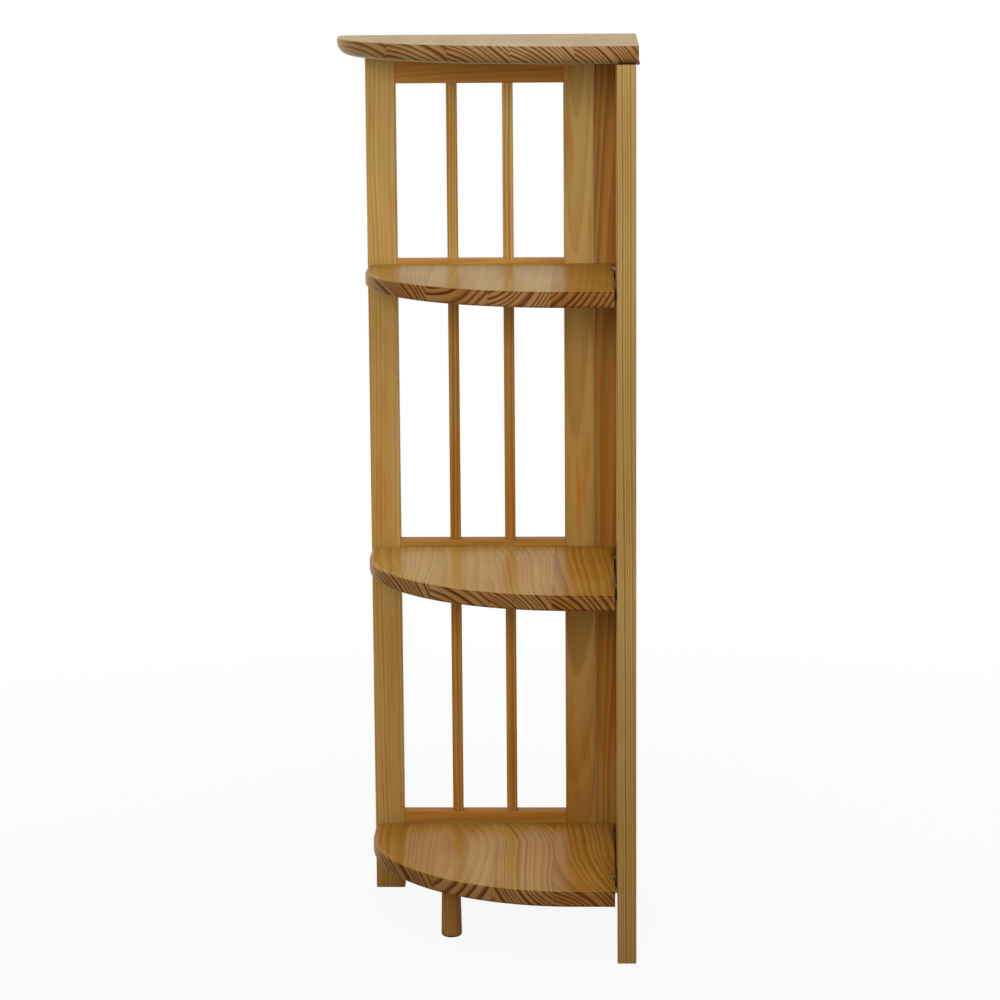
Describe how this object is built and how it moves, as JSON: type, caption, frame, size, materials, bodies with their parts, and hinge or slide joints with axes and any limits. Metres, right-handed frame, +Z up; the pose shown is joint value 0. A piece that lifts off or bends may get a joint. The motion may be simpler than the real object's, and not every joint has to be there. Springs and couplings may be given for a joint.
{
  "type": "folding corner shelf unit",
  "caption": "Folding quarter-round corner shelf unit: slatted wooden side and back frames, flip-up top, hinged shelves and a turned leg.",
  "frame": {"origin": "middle of the base of the bounding box, on the floor", "axes": "+Z up, +X to the right of someone facing the shelves, -Y towards them; the side frame is at +X and the back frame at +Y"},
  "size_m": [0.3608, 0.332, 1.066],
  "materials": {
    "frame_pine": "satin lacquer",
    "board_pine": "satin lacquer",
    "hinge_brass": "dull plated",
    "fastener_steel": "zinc plated"
  },
  "bodies": {
    "side_frame": {"side_frame_front_stile": "frame_pine", "side_frame_rear_stile": "frame_pine", "side_frame_top_rail": "frame_pine", "side_frame_upper_rail": "frame_pine", "side_frame_middle_rail": "frame_pine", "side_frame_lower_rail": "frame_pine", "side_frame_top_bay_front_spindle": "frame_pine", "side_frame_top_bay_rear_spindle": "frame_pine", "side_frame_middle_bay_front_spindle": "frame_pine", "side_frame_middle_bay_rear_spindle": "frame_pine", "side_frame_bottom_bay_front_spindle": "frame_pine", "side_frame_bottom_bay_rear_spindle": "frame_pine", "corner_post": "frame_pine", "upper_shelf_rear_hinge_frame_leaf": "hinge_brass", "upper_shelf_front_hinge_frame_leaf": "hinge_brass", "middle_shelf_rear_hinge_frame_leaf": "hinge_brass", "middle_shelf_front_hinge_frame_leaf": "hinge_brass", "lower_shelf_rear_hinge_frame_leaf": "hinge_brass", "lower_shelf_front_hinge_frame_leaf": "hinge_brass", "top_rear_hinge_frame_leaf": "hinge_brass", "top_front_hinge_frame_leaf": "hinge_brass", "upper_corner_hinge_post_leaf": "hinge_brass", "middle_corner_hinge_post_leaf": "hinge_brass", "lower_corner_hinge_post_leaf": "hinge_brass"},
    "back_frame": {"back_frame_outer_stile": "frame_pine", "back_frame_corner_stile": "frame_pine", "back_frame_top_rail": "frame_pine", "back_frame_upper_rail": "frame_pine", "back_frame_middle_rail": "frame_pine", "back_frame_lower_rail": "frame_pine", "back_frame_top_bay_outer_spindle": "frame_pine", "back_frame_top_bay_corner_spindle": "frame_pine", "back_frame_middle_bay_outer_spindle": "frame_pine", "back_frame_middle_bay_corner_spindle": "frame_pine", "back_frame_bottom_bay_outer_spindle": "frame_pine", "back_frame_bottom_bay_corner_spindle": "frame_pine", "upper_shelf_outer_peg": "fastener_steel", "upper_shelf_corner_peg": "fastener_steel", "middle_shelf_outer_peg": "fastener_steel", "middle_shelf_corner_peg": "fastener_steel", "lower_shelf_outer_peg": "fastener_steel", "lower_shelf_corner_peg": "fastener_steel", "upper_corner_hinge_frame_leaf": "hinge_brass", "middle_corner_hinge_frame_leaf": "hinge_brass", "lower_corner_hinge_frame_leaf": "hinge_brass"},
    "top": {"top_board": "board_pine", "top_rear_hinge_board_leaf": "hinge_brass", "top_front_hinge_board_leaf": "hinge_brass"},
    "upper_shelf": {"upper_shelf": "board_pine", "upper_shelf_rear_hinge_shelf_leaf": "hinge_brass", "upper_shelf_front_hinge_shelf_leaf": "hinge_brass"},
    "middle_shelf": {"middle_shelf": "board_pine", "middle_shelf_rear_hinge_shelf_leaf": "hinge_brass", "middle_shelf_front_hinge_shelf_leaf": "hinge_brass"},
    "lower_shelf": {"lower_shelf": "board_pine", "leg": "frame_pine", "leg_bolt": "fastener_steel", "lower_shelf_rear_hinge_shelf_leaf": "hinge_brass", "lower_shelf_front_hinge_shelf_leaf": "hinge_brass"}
  },
  "joints": [
    {"name": "top_flip", "type": "hinge", "parent": "side_frame", "child": "top", "pos_m": [0.1781, 0, 1.0443], "axis": [0, 1, 0], "range_deg": [0, 180]},
    {"name": "upper_shelf_fold", "type": "hinge", "parent": "side_frame", "child": "upper_shelf", "pos_m": [0.1512, 0, 0.7925], "axis": [0, 1, 0], "range_deg": [0, 57]},
    {"name": "middle_shelf_fold", "type": "hinge", "parent": "side_frame", "child": "middle_shelf", "pos_m": [0.1512, 0, 0.4415], "axis": [0, 1, 0], "range_deg": [0, 90]},
    {"name": "lower_shelf_fold", "type": "hinge", "parent": "side_frame", "child": "lower_shelf", "pos_m": [0.1512, 0, 0.0875], "axis": [0, 1, 0], "range_deg": [0, 90]},
    {"name": "back_frame_swing", "type": "hinge", "parent": "side_frame", "child": "back_frame", "pos_m": [0.1272, 0.1385, 0.5], "axis": [0, 0, 1], "range_deg": [0, 0.4]}
  ]
}
